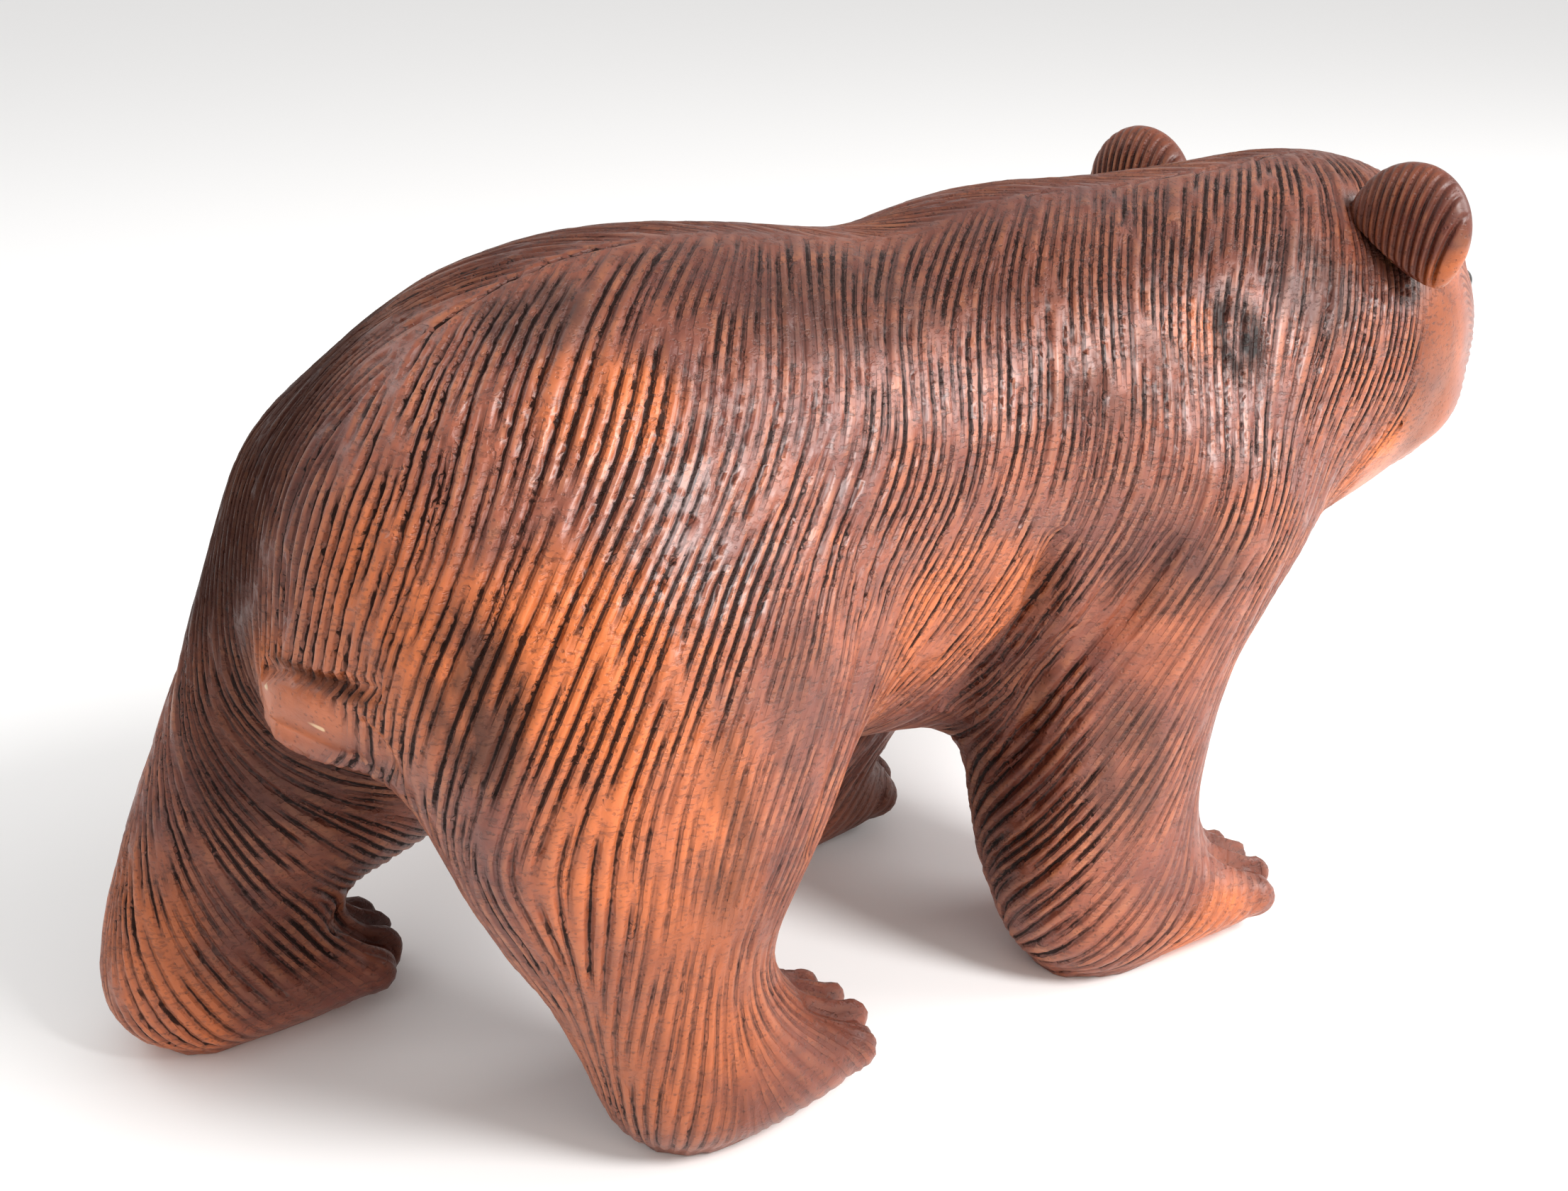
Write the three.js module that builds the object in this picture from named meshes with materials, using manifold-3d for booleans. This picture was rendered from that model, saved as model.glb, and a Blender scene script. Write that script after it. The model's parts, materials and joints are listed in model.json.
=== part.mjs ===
// A walking bear, carved from one block of hardwood, with two ears carved on their own and
// pegged on, and two glass bead eyes set in drilled sockets.
// Millimetres. +X runs towards the head, +Y to the bear's left, +Z up, and the soles lie on z = 0.
import * as THREE from 'three';
import { mergeVertices } from 'three/addons/utils/BufferGeometryUtils.js';
import Module from 'manifold-3d';

const wasm = await Module();
wasm.setup();

// ---------------------------------------------------------------- driving dimensions
const GAP = 0.3;                 // clearance between a piece and the pocket that holds it
const BLEND_NECK = 18;           // how far the neck's fillet spreads
const BLEND_LEG = 16;            // the same where a leg leaves the trunk
const BLEND_PAW = 7;             // the same at the ankle
const BLEND_TAIL = 6;            // the same at the root of the tail
const CARVING_CELL = 9.5;        // facet size on the trunk and legs
const SOLE_CELL = 5.5;           // facet height at the soles
const HEAD_CELL = 6.5;           // facet size on the head, where the shape is smaller

const DOWEL_RADIUS = 2.5;
const DOWEL_LENGTH = 18;
const EYE_RADIUS = 4;
const EYE_SUNK = 1.5;            // the bead's centre lies this far below the face
const EYE_SEARCH_STEP = 0.25;    // how finely the face is looked for along the line of sight

const HEAD_AT = new THREE.Vector3(139, -7, 141);   // the middle of the skull
const HEAD_YAW = THREE.MathUtils.degToRad(6);      // the head looks a little to the bear's left
const HEAD_PITCH = THREE.MathUtils.degToRad(4);    // positive bows the head

// A station is [x, y, z, half width across, half depth in the limb's own plane].
const TRUNK = [
  [-97, -3, 121, 46, 36],
  [-70, 0, 132, 61, 58],
  [-38, 0, 136, 58, 58],
  [17, 0, 123, 55, 62],
  [58, 0, 136, 55, 55],
  [95, 0, 137, 50, 50],
];

// The head's stations are in the head's own frame: [forward, 0, up, half width, half depth].
const SKULL_AND_MUZZLE = [
  [-25, 0, -8, 47, 50],
  [5, 0, 0, 50, 50],
  [30, 0, 0, 44, 45],
  [48, 0, -12, 34, 36],
  [66, 0, -20, 24, 23],
  [78, 0, -24, 19, 17],
];

// A leg's half width across and half depth at the heights below, from hip to ankle.
const HIND_GIRTH = [[38, 56], [30, 45], [23, 27], [20, 26]];
const FORE_GIRTH = [[32, 41], [26, 33], [25, 36], [22, 26]];
const LEG_HEIGHTS = [115, 82, 48, 16];

// Each leg: where its axis passes at the four heights, its girths, and how its paw points.
const LEGS = {
  right_hind: {
    axis: [[-69, -38], [-73, -44], [-72, -45], [-62, -47]],
    girth: HIND_GIRTH, toe: 9, reach: 36,
  },
  left_hind: {
    axis: [[-77, 35], [-101, 41], [-132, 49], [-143, 51]],
    girth: HIND_GIRTH, toe: 0, reach: 40,
  },
  right_fore: {
    axis: [[82, -37], [71, -37], [60, -38], [56, -46]],
    girth: FORE_GIRTH, toe: -5, reach: 45,
  },
  left_fore: {
    axis: [[75, 35], [55, 38], [24, 41], [8, 46]],
    girth: FORE_GIRTH, toe: 3, reach: 42,
  },
};
const PAW_HALF_WIDTH = 24;
const PAW_HEIGHT = 30;           // at the ankle: the paw thins out towards the toes
const SOLE_TUCK = 1;             // how far the paw's oval section reaches below its flat sole
// From heel to toes: the part of the reach, then the parts of the paw's width and height.
const PAW_SHAPE = [[0, 0.92, 1], [0.5, 1, 0.92], [1, 0.92, 0.66]];

const TAIL = [
  [-116, -3, 120, 15, 14],
  [-130, -4, 103, 14, 11],
];

// An ear is an oval block: half width, half thickness, half height, and how far its middle stands
// above its seat.
const EAR = { half: 17, thick: 9, tall: 18, middle: 6 };
// The middle of each seat in the head's frame, and how far the ear leans outward, in radians. The
// carver set the right ear a little higher than the left one.
const EAR_SEATS = {
  left: { forward: 3, out: 40, up: 27, lean: 0.56 },
  right: { forward: 4, out: 37.6, up: 29.6, lean: 0.48 },
};
// The hollow in the front of the ear: its middle lies `forward` of the ear's own.
const EAR_BOWL = { half: 10, thick: 5, tall: 10, middle: 9, forward: 9.5 };
const CUTTER_SIZE = 60;          // a block larger than any ear

// From the middle of the skull to the left eye, in the head's frame.
const EYE_FROM = new THREE.Vector3(25, 0, 0);
const EYE_DIRECTION = new THREE.Vector3(0.86, 0.43, 0.26);

// ---------------------------------------------------------------- limbs as fields of distance
// A limb is a row of oval sections along a smooth spine. Its field is below zero inside.
function limb(stations, side, stepsPerStation = 4) {
  const spine = new THREE.CatmullRomCurve3(
    stations.map(([x, y, z]) => new THREE.Vector3(x, y, z)), false, 'catmullrom', 0.5);
  const girth = new THREE.CatmullRomCurve3(
    stations.map(([, , , half, deep]) => new THREE.Vector3(half, deep, 0)), false, 'catmullrom', 0.5);
  const steps = (stations.length - 1) * stepsPerStation;
  const links = [];
  for (let i = 0; i < steps; i++) {
    const [from, to] = [spine.getPoint(i / steps), spine.getPoint((i + 1) / steps)];
    const along = to.clone().sub(from);
    const length = along.length();
    along.divideScalar(length);
    const across = side.clone().addScaledVector(along, -side.dot(along)).normalize();
    const depth = new THREE.Vector3().crossVectors(along, across);
    links.push({ from, along, across, depth, length,
      girthFrom: girth.getPoint(i / steps), girthTo: girth.getPoint((i + 1) / steps) });
  }
  const offset = new THREE.Vector3();
  return (point) => {
    let nearest = Infinity;
    for (const link of links) {
      offset.subVectors(point, link.from);
      const t = THREE.MathUtils.clamp(offset.dot(link.along) / link.length, 0, 1);
      offset.addScaledVector(link.along, -t * link.length);
      const half = THREE.MathUtils.lerp(link.girthFrom.x, link.girthTo.x, t);
      const deep = THREE.MathUtils.lerp(link.girthFrom.y, link.girthTo.y, t);
      const reach = Math.hypot(offset.dot(link.across) / half, offset.dot(link.depth) / deep,
        offset.dot(link.along) / Math.min(half, deep));
      const away = reach < 1e-6 ? -Math.min(half, deep) : offset.length() * (1 - 1 / reach);
      nearest = Math.min(nearest, away);
    }
    return nearest;
  };
}

// Joins two fields with a fillet that spreads over `spread` millimetres.
function blend(a, b, spread) {
  const overlap = Math.max(spread - Math.abs(a - b), 0) / spread;
  return Math.min(a, b) - overlap * overlap * spread / 4;
}

const LEFT = new THREE.Vector3(0, 1, 0);

const headFrame = new THREE.Object3D();
headFrame.position.copy(HEAD_AT);
headFrame.rotation.set(0, HEAD_PITCH, HEAD_YAW, 'ZYX');
headFrame.updateMatrixWorld(true);

function headStations(stations) {
  return stations.map(([forward, left, up, half, deep]) => {
    const at = headFrame.localToWorld(new THREE.Vector3(forward, left, up));
    return [at.x, at.y, at.z, half, deep];
  });
}

function pawStations({ axis, toe, reach }) {
  const [heelX, heelY] = axis[axis.length - 1];
  const turn = THREE.MathUtils.degToRad(toe);
  return PAW_SHAPE.map(([part, wide, tall]) => [
    heelX + part * reach * Math.cos(turn),
    heelY + part * reach * Math.sin(turn),
    tall * PAW_HEIGHT / 2, wide * PAW_HALF_WIDTH, tall * PAW_HEIGHT / 2 + SOLE_TUCK,
  ]);
}

const headSide = new THREE.Vector3(0, 1, 0).applyQuaternion(headFrame.quaternion);
const trunkField = limb(TRUNK, LEFT);
const headField = limb(headStations(SKULL_AND_MUZZLE), headSide);
const tailField = limb(TAIL, LEFT);
const legFields = Object.values(LEGS).map((leg) => ({
  leg: limb(leg.axis.map(([x, y], i) => [x, y, LEG_HEIGHTS[i], ...leg.girth[i]]), LEFT),
  paw: limb(pawStations(leg), LEFT),
}));

function carvingField(point) {
  if (point.z < 0) return -point.z;
  let away = blend(trunkField(point), headField(point), BLEND_NECK);
  for (const { leg, paw } of legFields) {
    away = blend(away, leg(point), BLEND_LEG);
    away = blend(away, paw(point), BLEND_PAW);
  }
  return blend(away, tailField(point), BLEND_TAIL);
}

// ---------------------------------------------------------------- a field's surface as a mesh
function gridLine(...stretches) {
  const line = [];
  for (const [from, to, cell] of stretches) {
    const count = Math.round((to - from) / cell);
    for (let i = 0; i < count; i++) line.push(from + (to - from) * i / count);
  }
  line.push(stretches.at(-1)[1]);
  return line;
}

// Surface nets: one vertex in each cell that the surface crosses, at the mean of the crossings on
// its edges, and one square across each grid edge that the surface crosses.
// The layer of cells that the ground runs through puts its vertices on the ground, as flat soles.
function surfaceOf(field, xs, ys, zs) {
  const [nx, ny, nz] = [xs.length, ys.length, zs.length];
  const at = (i, j, k) => (i * ny + j) * nz + k;
  const values = new Float64Array(nx * ny * nz);
  const point = new THREE.Vector3();
  for (let i = 0; i < nx; i++)
    for (let j = 0; j < ny; j++)
      for (let k = 0; k < nz; k++) values[at(i, j, k)] = field(point.set(xs[i], ys[j], zs[k]));

  const positions = [];
  const vertexOf = new Map();
  const corners = [0, 1, 2, 3, 4, 5, 6, 7].map((bits) => [bits >> 2, (bits >> 1) & 1, bits & 1]);
  const steps = [[1, 0, 0], [0, 1, 0], [0, 0, 1]];

  function cellVertex(i, j, k) {
    const key = at(i, j, k);
    if (vertexOf.has(key)) return vertexOf.get(key);
    const sum = new THREE.Vector3();
    let crossings = 0;
    for (const [a, b, c] of corners)
      for (const [da, db, dc] of steps) {
        if (a + da > 1 || b + db > 1 || c + dc > 1) continue;
        const here = values[at(i + a, j + b, k + c)];
        const there = values[at(i + a + da, j + b + db, k + c + dc)];
        if (here < 0 === there < 0) continue;
        const t = here / (here - there);
        sum.x += THREE.MathUtils.lerp(xs[i + a], xs[i + a + da], t);
        sum.y += THREE.MathUtils.lerp(ys[j + b], ys[j + b + db], t);
        sum.z += THREE.MathUtils.lerp(zs[k + c], zs[k + c + dc], t);
        crossings += 1;
      }
    sum.divideScalar(crossings);
    if (zs[k] < 0) sum.z = 0;
    vertexOf.set(key, positions.length / 3);
    positions.push(sum.x, sum.y, sum.z);
    return vertexOf.get(key);
  }

  const indices = [];
  for (let i = 1; i < nx - 1; i++)
    for (let j = 1; j < ny - 1; j++)
      for (let k = 1; k < nz - 1; k++)
        steps.forEach(([da, db, dc], axis) => {
          const inside = values[at(i, j, k)] < 0;
          if (inside === values[at(i + da, j + db, k + dc)] < 0) return;
          const [u, v] = [steps[(axis + 1) % 3], steps[(axis + 2) % 3]];
          const ring = [[1, 1], [0, 1], [0, 0], [1, 0]].map(([p, q]) =>
            cellVertex(i - p * u[0] - q * v[0], j - p * u[1] - q * v[1], k - p * u[2] - q * v[2]));
          if (!inside) ring.reverse();
          indices.push(ring[0], ring[1], ring[2], ring[0], ring[2], ring[3]);
        });
  const geometry = new THREE.BufferGeometry();
  geometry.setAttribute('position', new THREE.Float32BufferAttribute(positions, 3));
  geometry.setIndex(indices);
  return geometry;
}

// ---------------------------------------------------------------- cutting and joining
function solid(geometry, matrix = new THREE.Matrix4()) {
  const bare = geometry.clone().applyMatrix4(matrix);
  bare.deleteAttribute('normal');
  bare.deleteAttribute('uv');
  const merged = mergeVertices(bare, 1e-3);
  return new wasm.Manifold(new wasm.Mesh({
    numProp: 3,
    vertProperties: merged.attributes.position.array,
    triVerts: new Uint32Array(merged.index.array),
  }));
}

function geometryOf(manifold) {
  const mesh = manifold.getMesh();
  const geometry = new THREE.BufferGeometry();
  geometry.setAttribute('position', new THREE.BufferAttribute(mesh.vertProperties, 3));
  geometry.setIndex(new THREE.BufferAttribute(mesh.triVerts, 1));
  geometry.computeVertexNormals();
  return geometry;
}

function placed(x, y, z) {
  return new THREE.Matrix4().makeTranslation(x, y, z);
}

// ---------------------------------------------------------------- ears and their pegs
// An ear's frame stands on its seat: Z up along the ear, X forward, Y outward for the left ear.
function earFrame({ forward, out, up, lean }, sign) {
  const frame = new THREE.Object3D();
  frame.position.set(forward, sign * out, up);
  frame.rotation.x = -sign * lean;
  headFrame.add(frame);
  frame.updateMatrixWorld(true);
  return frame.matrixWorld.clone();
}

function ovalBlock({ half, thick, tall, middle }, forward = 0, swell = 0) {
  return solid(
    new THREE.SphereGeometry(1, 24, 14).rotateX(Math.PI / 2),
    placed(forward, 0, middle).scale(new THREE.Vector3(thick + swell, half + swell, tall + swell)));
}

function peg(radius, length) {
  return new THREE.CylinderGeometry(radius, radius, length, 16).rotateX(Math.PI / 2);
}

// Everything of an ear that would lie below a seat at this height.
function belowSeat(height) {
  return solid(
    new THREE.BoxGeometry(CUTTER_SIZE, CUTTER_SIZE, CUTTER_SIZE),
    placed(0, 0, height - CUTTER_SIZE / 2));
}

function dowelHole() {
  return solid(peg(DOWEL_RADIUS + GAP, DOWEL_LENGTH + 2 * GAP));
}

function earSolid() {
  return ovalBlock(EAR)
    .subtract(ovalBlock(EAR_BOWL, EAR_BOWL.forward))
    .subtract(belowSeat(GAP))
    .subtract(dowelHole());
}

// The seat is cut to the ear's own outline, with a flat floor.
function earSeat() {
  return ovalBlock(EAR, 0, GAP).subtract(belowSeat(0));
}

// ---------------------------------------------------------------- the pieces
const bear = new THREE.Group();

function addPiece(name, geometry, material) {
  const mesh = new THREE.Mesh(geometry, material);
  mesh.name = name;
  bear.add(mesh);
}

const stainedWood = () => new THREE.MeshStandardMaterial({ color: 0x8a4a32, roughness: 0.45, metalness: 0 });
const plainWood = () => new THREE.MeshStandardMaterial({ color: 0xc9a26b, roughness: 0.7, metalness: 0 });
const blackGlass = () => new THREE.MeshStandardMaterial({ color: 0x120b08, roughness: 0.08, metalness: 0 });

// Walks from inside the skull towards the face until it comes out of the wood.
function facePoint(direction) {
  const point = headFrame.localToWorld(EYE_FROM.clone());
  const way = direction.clone().applyQuaternion(headFrame.quaternion).normalize();
  while (carvingField(point) < 0) point.addScaledVector(way, EYE_SEARCH_STEP);
  return point.addScaledVector(way, -EYE_SUNK);
}

const xs = gridLine([-190, 118, CARVING_CELL], [118, 250, HEAD_CELL]);
const ys = gridLine([-90, 90, CARVING_CELL]);
const zs = gridLine([-2 * SOLE_CELL, 3 * SOLE_CELL, SOLE_CELL], [3 * SOLE_CELL, 212, CARVING_CELL]);
let carving = solid(surfaceOf(carvingField, xs, ys, zs));

for (const [side, sign] of [['left', 1], ['right', -1]]) {
  const frame = earFrame(EAR_SEATS[side], sign);
  carving = carving
    .subtract(solid(geometryOf(earSeat()), frame))
    .subtract(solid(geometryOf(dowelHole()), frame));
  addPiece(`ear_${side}`, geometryOf(earSolid()).applyMatrix4(frame), stainedWood());
  addPiece(`ear_dowel_${side}`, peg(DOWEL_RADIUS, DOWEL_LENGTH).applyMatrix4(frame), plainWood());

  const eye = facePoint(EYE_DIRECTION.clone().multiply(new THREE.Vector3(1, sign, 1)));
  const at = placed(eye.x, eye.y, eye.z);
  carving = carving.subtract(solid(new THREE.SphereGeometry(EYE_RADIUS + GAP, 20, 12), at));
  addPiece(`eye_${side}`, new THREE.SphereGeometry(EYE_RADIUS, 18, 10).applyMatrix4(at), blackGlass());
}
addPiece('body_carving', geometryOf(carving), stainedWood());

// The origin is under the middle of the bear's box, on the surface that it stands on.
const box = new THREE.Box3().setFromObject(bear);
const middle = box.getCenter(new THREE.Vector3());
bear.position.set(-middle.x, -middle.y, -box.min.z);

export default bear;
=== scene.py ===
# %% [markdown]
# # A carved wooden bear
# The real object is a walking bear, cut from one block of red-brown hardwood. A carver roughs out
# the body, rounds it, and then combs the whole coat with a V-gouge, one long cut beside the
# other. The ears are taken to be carved on their own and pegged on, and the eyes to be small
# glass beads, though neither is certain from the outside.
# This script dresses the measured CAD part in that carving. Lengths are in metres, so the sizes
# a carver would think in are written in millimetres and multiplied by MM.

# %% Load the measured part
import json
import math

import bpy
import numpy as np
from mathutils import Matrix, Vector
from mathutils.kdtree import KDTree
from mathutils.bvhtree import BVHTree

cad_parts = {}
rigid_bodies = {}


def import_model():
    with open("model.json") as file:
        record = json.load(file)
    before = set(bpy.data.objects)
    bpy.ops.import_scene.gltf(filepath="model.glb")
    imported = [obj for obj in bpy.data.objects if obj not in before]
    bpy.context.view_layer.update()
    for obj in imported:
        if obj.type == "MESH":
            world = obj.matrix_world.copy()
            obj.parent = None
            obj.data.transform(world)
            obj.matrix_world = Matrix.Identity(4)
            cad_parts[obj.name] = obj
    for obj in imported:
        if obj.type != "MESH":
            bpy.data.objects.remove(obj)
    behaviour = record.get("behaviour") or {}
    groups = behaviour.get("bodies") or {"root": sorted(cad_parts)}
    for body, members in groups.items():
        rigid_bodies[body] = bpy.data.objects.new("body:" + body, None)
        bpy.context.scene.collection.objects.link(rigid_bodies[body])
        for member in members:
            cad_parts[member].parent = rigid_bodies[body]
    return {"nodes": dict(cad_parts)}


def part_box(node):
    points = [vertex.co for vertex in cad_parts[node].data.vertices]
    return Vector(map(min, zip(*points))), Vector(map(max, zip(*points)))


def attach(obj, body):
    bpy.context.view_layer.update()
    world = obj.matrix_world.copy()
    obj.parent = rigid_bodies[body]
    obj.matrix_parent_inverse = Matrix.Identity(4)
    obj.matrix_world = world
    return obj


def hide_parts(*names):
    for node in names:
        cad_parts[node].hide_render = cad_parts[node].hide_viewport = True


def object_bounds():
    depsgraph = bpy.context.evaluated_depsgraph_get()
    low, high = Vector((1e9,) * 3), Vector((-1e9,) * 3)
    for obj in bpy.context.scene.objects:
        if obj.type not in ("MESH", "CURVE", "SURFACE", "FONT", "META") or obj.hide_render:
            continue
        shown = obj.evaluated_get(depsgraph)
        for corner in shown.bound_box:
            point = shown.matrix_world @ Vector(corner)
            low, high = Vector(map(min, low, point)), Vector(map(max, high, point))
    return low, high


MM = 0.001
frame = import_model()
cad_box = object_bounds()
random = np.random.default_rng(7)
print("parts:", sorted(frame["nodes"]))

# %% [markdown]
# ## Meshes as arrays
# numpy moves all the points of a mesh in one go, which a loop over them can't do in reasonable
# time. These helpers copy a mesh's points into an array and back.

# %% Helpers that read and write a mesh as arrays
def points_of(mesh):
    flat = np.empty(len(mesh.vertices) * 3)
    mesh.vertices.foreach_get("co", flat)
    return flat.reshape(-1, 3)


def normals_of(mesh):
    flat = np.empty(len(mesh.vertices) * 3)
    mesh.vertex_normals.foreach_get("vector", flat)
    return flat.reshape(-1, 3)


def move_points(mesh, points):
    mesh.vertices.foreach_set("co", points.ravel())
    mesh.update()


def edges_of(mesh):
    flat = np.empty(len(mesh.edges) * 2, dtype=np.int64)
    mesh.edges.foreach_get("vertices", flat)
    return flat.reshape(-1, 2)


def patch(points, centre_mm, radii_mm, soft=0.35):
    """1 inside an oval, 0 well outside it, with a soft rim."""
    away = np.linalg.norm(
        (points - np.array(centre_mm, float) * MM) / (np.array(radii_mm, float) * MM), axis=1)
    t = np.clip((1 + soft - away) / (2 * soft), 0, 1)
    return t * t * (3 - 2 * t)


def smoothed(points, edges, rounds):
    """Moves each point halfway to the middle of its neighbours, once a round."""
    ends = np.concatenate([edges[:, 0], edges[:, 1]])
    others = np.concatenate([edges[:, 1], edges[:, 0]])
    count = np.bincount(ends, minlength=len(points))[:, None]
    for _ in range(rounds):
        mean = np.stack([
            np.bincount(ends, weights=points[others, axis], minlength=len(points))
            for axis in range(3)], axis=1) / count
        points = points + 0.5 * (mean - points)
    return points


def evaluated_copy(thing, name):
    """The object with its modifiers worked in, as a plain mesh of its own."""
    mesh = bpy.data.meshes.new_from_object(
        thing.evaluated_get(bpy.context.evaluated_depsgraph_get()))
    copy = bpy.data.objects.new(name, mesh)
    bpy.context.collection.objects.link(copy)
    return copy

# %% [markdown]
# ## The coat's direction
# A carved coat is a flow: every cut follows its neighbours. A few guide strokes, drawn over the
# body, say which way the cuts run. Elsewhere the direction is the mean of the nearest guides, laid
# flat on the surface. The left side is the mirror of the right one, except on the legs, which stand
# in different steps.

# %% Guide strokes, in millimetres, from the spine outwards and down
RUMP_GUIDES = [
    [(-119, -9, 186), (-128, -13, 179), (-137, -18, 169), (-152, -21, 146), (-161, -18, 121)],
    [(-106, -9, 190), (-126, -24, 175), (-135, -37, 159), (-144, -44, 144), (-155, -42, 111)],
    [(-94, -17, 190), (-109, -27, 183), (-127, -42, 161), (-146, -52, 136), (-155, -38, 103)],
    [(-80, -12, 193), (-98, -28, 186), (-117, -45, 165), (-139, -53, 142), (-151, -40, 95)],
    [(-62, -10, 192), (-86, -32, 185), (-100, -53, 162), (-123, -63, 142), (-142, -62, 106)],
]
FLANK_GUIDES = [
    [(-46, -8, 191), (-57, -28, 185), (-70, -51, 163), (-83, -60, 151), (-99, -68, 140),
     (-120, -73, 102)],
    [(-18, -6, 190), (-30, -20, 183), (-44, -34, 178), (-54, -50, 158), (-65, -58, 144),
     (-80, -66, 136)],
    [(7, -7, 188), (-18, -25, 179), (-32, -38, 171), (-35, -53, 146), (-57, -60, 128)],
    [(25, -13, 189), (3, -32, 177), (-7, -49, 152), (-11, -52, 141), (-29, -54, 117)],
    [(40, -16, 187), (19, -37, 175), (12, -52, 150), (6, -55, 125), (-6, -53, 113)],
]
SHOULDER_GUIDES = [
    [(51, -21, 186), (32, -39, 174), (22, -56, 142), (13, -57, 124), (-3, -46, 91)],
    [(65, -23, 185), (44, -44, 167), (34, -62, 134), (17, -57, 109), (2, -41, 74)],
    [(83, -21, 186), (53, -46, 166), (43, -63, 133), (29, -62, 103), (4, -47, 64)],
    [(99, -22, 187), (72, -45, 169), (54, -64, 131), (41, -65, 101), (11, -56, 55)],
]
HEAD_GUIDES = [
    [(122, -14, 189), (96, -45, 171), (91, -53, 157), (80, -57, 143), (56, -67, 122)],
    [(131, -13, 188), (114, -43, 170), (105, -54, 154), (99, -56, 137), (82, -59, 116)],
    [(134, -22, 185), (126, -43, 171), (119, -54, 152), (114, -55, 136), (105, -53, 118)],
]
FACE_GUIDES = [
    [(186, -8, 118), (172, -24, 122), (152, -38, 128), (132, -48, 132)],
    [(186, -4, 126), (170, -12, 138), (155, -18, 160), (143, -22, 176)],
    [(184, -8, 104), (166, -22, 100), (146, -32, 104), (126, -40, 110)],
]
LEG_GUIDES = {
    "right_hind": [
        [(-72, -65, 134), (-85, -73, 107), (-98, -72, 77)],
        [(-118, -73, 101), (-118, -72, 79), (-119, -65, 54), (-122, -57, 33)],
        [(-102, -74, 92), (-102, -71, 69), (-102, -67, 43), (-106, -65, 19)],
        [(-60, -63, 124), (-71, -67, 96), (-91, -67, 58)],
        [(-147, -48, 77), (-137, -51, 57), (-123, -47, 25)],
        [(-91, -65, 47), (-75, -64, 22), (-63, -62, 5)],
    ],
    "left_hind": [
        [(-173, 32, 86), (-170, 27, 75), (-160, 22, 62), (-149, 25, 47)],
        [(-178, 35, 72), (-175, 30, 56), (-165, 30, 35), (-154, 30, 20)],
        [(-184, 35, 49), (-183, 33, 35), (-175, 30, 21)],
        [(-165, 23, 90), (-155, 18, 80), (-141, 12, 75)],
        [(-120, 70, 120), (-138, 74, 90), (-155, 72, 55), (-150, 70, 20)],
        [(-95, 70, 110), (-112, 72, 80), (-128, 68, 50)],
    ],
    "right_fore": [
        [(41, -65, 101), (29, -61, 77), (13, -57, 60), (-1, -40, 38)],
        [(55, -60, 78), (34, -62, 51), (12, -61, 36), (2, -52, 21)],
        [(19, -55, 88), (5, -45, 70)],
        [(55, -64, 97), (53, -57, 53), (47, -59, 37)],
        [(48, -61, 42), (34, -64, 25), (20, -60, 12)],
    ],
    "left_fore": [
        [(50, 62, 110), (30, 62, 85), (5, 60, 60), (-20, 58, 35)],
        [(30, 62, 60), (5, 64, 35), (-10, 62, 15)],
    ],
}


def mirrored(line):
    return [(x, -y, z) for x, y, z in line]


trunk_guides = RUMP_GUIDES + FLANK_GUIDES + SHOULDER_GUIDES + HEAD_GUIDES + FACE_GUIDES
guides = trunk_guides + [mirrored(line) for line in trunk_guides]
for lines in LEG_GUIDES.values():
    guides += lines
print("guide strokes:", len(guides))

# %% [markdown]
# ## Laying the direction over the surface
# The direction is stored on the blank as an attribute, so it follows every later change of the
# mesh. A guide only speaks for its own side of the spine, which is what makes the cuts part
# there like a herringbone, and it speaks less for wood that faces another way.

# %% Mean direction of the nearest guides
GUIDE_REACH = 11 * MM
GUIDE_STEP = 6 * MM
SPINE_Y = -6 * MM
FACING_AWAY = 0.03      # what a guide still says to wood that faces another way
ACROSS_SPINE = 1e-4     # and to wood on the other side of the spine
BATCH = 4000            # points worked on at a time, to spare memory


def unit(vectors):
    length = np.linalg.norm(vectors, axis=-1, keepdims=True)
    return vectors / np.maximum(length, 1e-9)


def guide_samples(lines):
    places, ways = [], []
    for line in lines:
        corners = np.array(line, float) * MM
        for start, end in zip(corners[:-1], corners[1:]):
            count = max(1, int(np.linalg.norm(end - start) / GUIDE_STEP))
            for i in range(count):
                places.append(start + (end - start) * (i + 0.5) / count)
                ways.append(unit(end - start))
    return np.array(places), np.array(ways)


def comb_direction(points, facing):
    places, ways = guide_samples(guides)
    nearest = np.array([np.argmin(((points - place) ** 2).sum(axis=1)) for place in places])
    guide_facing = facing[nearest]
    result = np.empty_like(points)
    for first in range(0, len(points), BATCH):
        part = slice(first, first + BATCH)
        gap = np.linalg.norm(points[part, None] - places[None], axis=2)
        closest = gap.min(axis=1, keepdims=True)
        weight = np.exp(-(gap ** 2 - closest ** 2) / (2 * GUIDE_REACH ** 2))
        weight *= FACING_AWAY + np.clip(facing[part] @ guide_facing.T, 0, 1)
        same_side = (points[part, None, 1] > SPINE_Y) == (places[None, :, 1] > SPINE_Y)
        weight *= np.where(same_side, 1, ACROSS_SPINE)
        result[part] = weight @ ways
    along_surface = result - (result * facing).sum(axis=1, keepdims=True) * facing
    return unit(along_surface)

# %% [markdown]
# ## The blank
# Before any fur is cut, the carver has a smooth, rounded bear. The CAD body has that shape in
# coarse facets. A voxel remesh gives it even squares, smoothing takes the facets off, and two
# rounds of subdivision make the squares small enough for a V-cut to show as real shape.

# %% Rough out the blank from the CAD body
WELD_GAP = 0.01 * MM
BLANK_VOXEL = 2.4 * MM
FACET_ROUNDS = 28
SOLE_BAND = 1.2 * MM

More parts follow.
